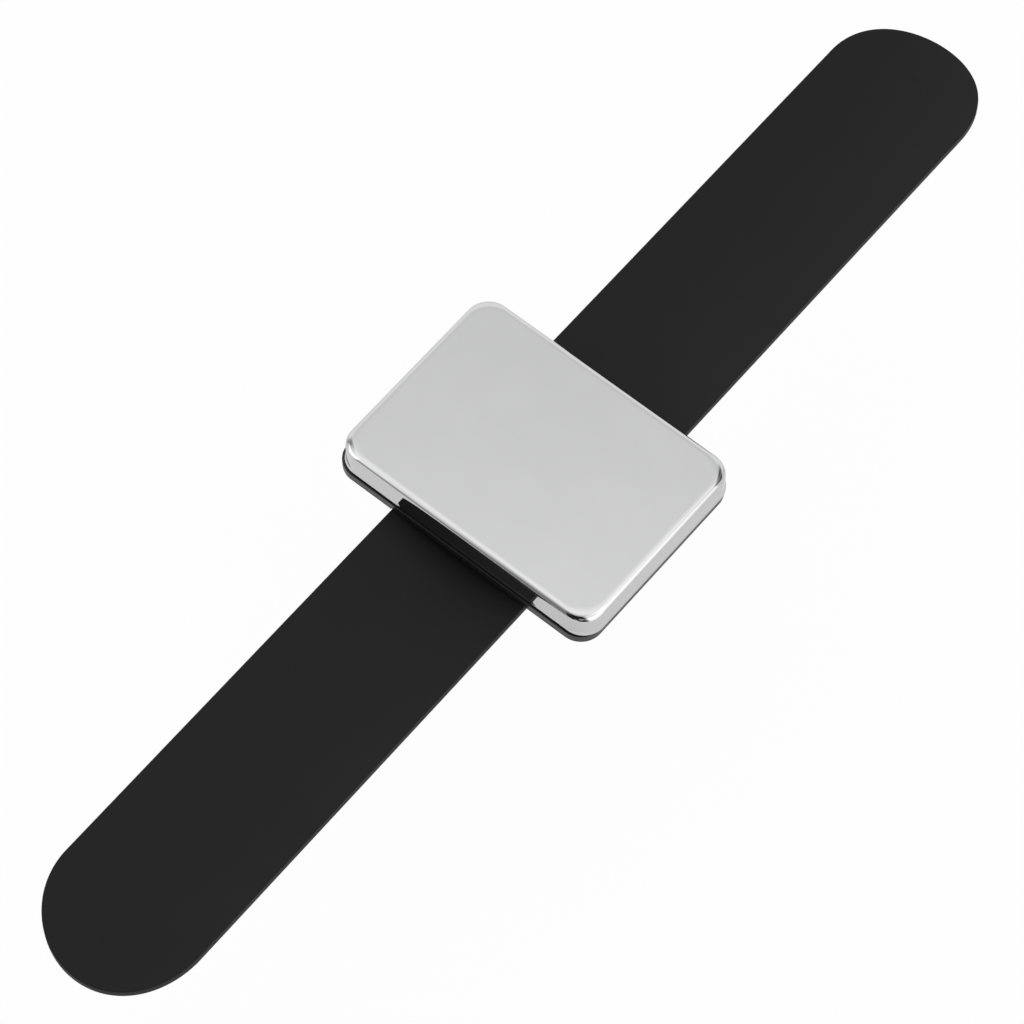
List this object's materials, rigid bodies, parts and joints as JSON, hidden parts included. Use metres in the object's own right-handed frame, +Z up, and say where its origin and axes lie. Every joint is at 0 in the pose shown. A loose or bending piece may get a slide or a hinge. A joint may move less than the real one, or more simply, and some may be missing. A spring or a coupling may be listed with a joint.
{
  "type": "magnetic hair clip wristband",
  "caption": "Wristband that holds hair clips and pins: a polished steel magnet plate on a black silicone snap band with a bowed spring strip inside.",
  "frame": {"origin": "middle of the clamp plate's underside, the lowest face, at the middle of the band's length", "axes": "+X along the band, +Y across it, +Z up out of the steel plate"},
  "size_m": [0.2364, 0.0564, 0.0134],
  "materials": {
    "polished_steel": "polished stainless sheet, drawn",
    "black_plastic": "satin moulded black",
    "silicone": "matt black silicone",
    "spring_steel": "rolled strip",
    "ferrite": "ground ceramic",
    "screw_steel": "zinc plated"
  },
  "bodies": {
    "case": {"steel_cover": "polished_steel", "base_tray": "black_plastic", "magnet_1": "ferrite", "magnet_2": "ferrite", "magnet_3": "ferrite", "magnet_4": "ferrite", "magnet_5": "ferrite", "magnet_6": "ferrite", "strap_bridge": "black_plastic", "screw_1": "screw_steel", "screw_2": "screw_steel", "screw_3": "screw_steel", "screw_4": "screw_steel", "band_centre": "silicone", "spring_centre": "spring_steel"},
    "left_link_1": {"left_band_1": "silicone", "left_spring_1": "spring_steel"},
    "left_link_2": {"left_band_2": "silicone", "left_spring_2": "spring_steel"},
    "left_link_3": {"left_band_3": "silicone", "left_spring_3": "spring_steel"},
    "left_link_4": {"left_band_4": "silicone", "left_spring_4": "spring_steel"},
    "left_link_5": {"left_band_5": "silicone", "left_spring_5": "spring_steel"},
    "left_link_6": {"left_band_6": "silicone", "left_spring_6": "spring_steel"},
    "left_link_7": {"left_band_7": "silicone", "left_spring_7": "spring_steel"},
    "left_link_8": {"left_band_8": "silicone", "left_spring_8": "spring_steel"},
    "left_link_9": {"left_band_9": "silicone", "left_spring_9": "spring_steel"},
    "left_link_10": {"left_band_10": "silicone", "left_spring_10": "spring_steel"},
    "right_link_1": {"right_band_1": "silicone", "right_spring_1": "spring_steel"},
    "right_link_2": {"right_band_2": "silicone", "right_spring_2": "spring_steel"},
    "right_link_3": {"right_band_3": "silicone", "right_spring_3": "spring_steel"},
    "right_link_4": {"right_band_4": "silicone", "right_spring_4": "spring_steel"},
    "right_link_5": {"right_band_5": "silicone", "right_spring_5": "spring_steel"},
    "right_link_6": {"right_band_6": "silicone", "right_spring_6": "spring_steel"},
    "right_link_7": {"right_band_7": "silicone", "right_spring_7": "spring_steel"},
    "right_link_8": {"right_band_8": "silicone", "right_spring_8": "spring_steel"},
    "right_link_9": {"right_band_9": "silicone", "right_spring_9": "spring_steel"},
    "right_link_10": {"right_band_10": "silicone", "right_spring_10": "spring_steel"}
  },
  "joints": [
    {"name": "left_curl", "type": "hinge", "parent": "case", "child": "left_link_1", "pos_m": [-0.0145, 0, 0.0023], "axis": [0, -1, 0], "range_deg": [0, 23]},
    {"name": "left_bend_2", "type": "hinge", "parent": "left_link_1", "child": "left_link_2", "pos_m": [-0.0229, 0, 0.0023], "axis": [0, -1, 0], "range_deg": [0, 23]},
    {"name": "left_bend_3", "type": "hinge", "parent": "left_link_2", "child": "left_link_3", "pos_m": [-0.0313, 0, 0.0023], "axis": [0, -1, 0], "range_deg": [0, 23]},
    {"name": "left_bend_4", "type": "hinge", "parent": "left_link_3", "child": "left_link_4", "pos_m": [-0.0397, 0, 0.0023], "axis": [0, -1, 0], "range_deg": [0, 23]},
    {"name": "left_bend_5", "type": "hinge", "parent": "left_link_4", "child": "left_link_5", "pos_m": [-0.0481, 0, 0.0023], "axis": [0, -1, 0], "range_deg": [0, 23]},
    {"name": "left_bend_6", "type": "hinge", "parent": "left_link_5", "child": "left_link_6", "pos_m": [-0.0565, 0, 0.0023], "axis": [0, -1, 0], "range_deg": [0, 23]},
    {"name": "left_bend_7", "type": "hinge", "parent": "left_link_6", "child": "left_link_7", "pos_m": [-0.0649, 0, 0.0023], "axis": [0, -1, 0], "range_deg": [0, 23]},
    {"name": "left_bend_8", "type": "hinge", "parent": "left_link_7", "child": "left_link_8", "pos_m": [-0.0733, 0, 0.0023], "axis": [0, -1, 0], "range_deg": [0, 23]},
    {"name": "left_bend_9", "type": "hinge", "parent": "left_link_8", "child": "left_link_9", "pos_m": [-0.0817, 0, 0.0023], "axis": [0, -1, 0], "range_deg": [0, 11.5]},
    {"name": "left_bend_10", "type": "hinge", "parent": "left_link_9", "child": "left_link_10", "pos_m": [-0.09997, 0, 0.0023], "axis": [0, -1, 0], "range_deg": [0, 23]},
    {"name": "right_curl", "type": "hinge", "parent": "case", "child": "right_link_1", "pos_m": [0.0145, 0, 0.0023], "axis": [0, 1, 0], "range_deg": [0, 21]},
    {"name": "right_bend_2", "type": "hinge", "parent": "right_link_1", "child": "right_link_2", "pos_m": [0.0229, 0, 0.0023], "axis": [0, 1, 0], "range_deg": [0, 21]},
    {"name": "right_bend_3", "type": "hinge", "parent": "right_link_2", "child": "right_link_3", "pos_m": [0.0313, 0, 0.0023], "axis": [0, 1, 0], "range_deg": [0, 21]},
    {"name": "right_bend_4", "type": "hinge", "parent": "right_link_3", "child": "right_link_4", "pos_m": [0.0397, 0, 0.0023], "axis": [0, 1, 0], "range_deg": [0, 21]},
    {"name": "right_bend_5", "type": "hinge", "parent": "right_link_4", "child": "right_link_5", "pos_m": [0.0481, 0, 0.0023], "axis": [0, 1, 0], "range_deg": [0, 21]},
    {"name": "right_bend_6", "type": "hinge", "parent": "right_link_5", "child": "right_link_6", "pos_m": [0.0565, 0, 0.0023], "axis": [0, 1, 0], "range_deg": [0, 21]},
    {"name": "right_bend_7", "type": "hinge", "parent": "right_link_6", "child": "right_link_7", "pos_m": [0.0649, 0, 0.0023], "axis": [0, 1, 0], "range_deg": [0, 21]},
    {"name": "right_bend_8", "type": "hinge", "parent": "right_link_7", "child": "right_link_8", "pos_m": [0.0733, 0, 0.0023], "axis": [0, 1, 0], "range_deg": [0, 21]},
    {"name": "right_bend_9", "type": "hinge", "parent": "right_link_8", "child": "right_link_9", "pos_m": [0.0817, 0, 0.0023], "axis": [0, 1, 0], "range_deg": [0, 10.5]},
    {"name": "right_bend_10", "type": "hinge", "parent": "right_link_9", "child": "right_link_10", "pos_m": [0.09997, 0, 0.0023], "axis": [0, 1, 0], "range_deg": [0, 14.7]}
  ],
  "couplings": [
    {"joint": "left_bend_2", "follows": "left_curl", "ratio": 1},
    {"joint": "left_bend_3", "follows": "left_curl", "ratio": 1},
    {"joint": "left_bend_4", "follows": "left_curl", "ratio": 1},
    {"joint": "left_bend_5", "follows": "left_curl", "ratio": 1},
    {"joint": "left_bend_6", "follows": "left_curl", "ratio": 1},
    {"joint": "left_bend_7", "follows": "left_curl", "ratio": 1},
    {"joint": "left_bend_8", "follows": "left_curl", "ratio": 1},
    {"joint": "left_bend_9", "follows": "left_curl", "ratio": 0.5},
    {"joint": "left_bend_10", "follows": "left_curl", "ratio": 1},
    {"joint": "right_bend_2", "follows": "right_curl", "ratio": 1},
    {"joint": "right_bend_3", "follows": "right_curl", "ratio": 1},
    {"joint": "right_bend_4", "follows": "right_curl", "ratio": 1},
    {"joint": "right_bend_5", "follows": "right_curl", "ratio": 1},
    {"joint": "right_bend_6", "follows": "right_curl", "ratio": 1},
    {"joint": "right_bend_7", "follows": "right_curl", "ratio": 1},
    {"joint": "right_bend_8", "follows": "right_curl", "ratio": 1},
    {"joint": "right_bend_9", "follows": "right_curl", "ratio": 0.5},
    {"joint": "right_bend_10", "follows": "right_curl", "ratio": 0.7}
  ]
}
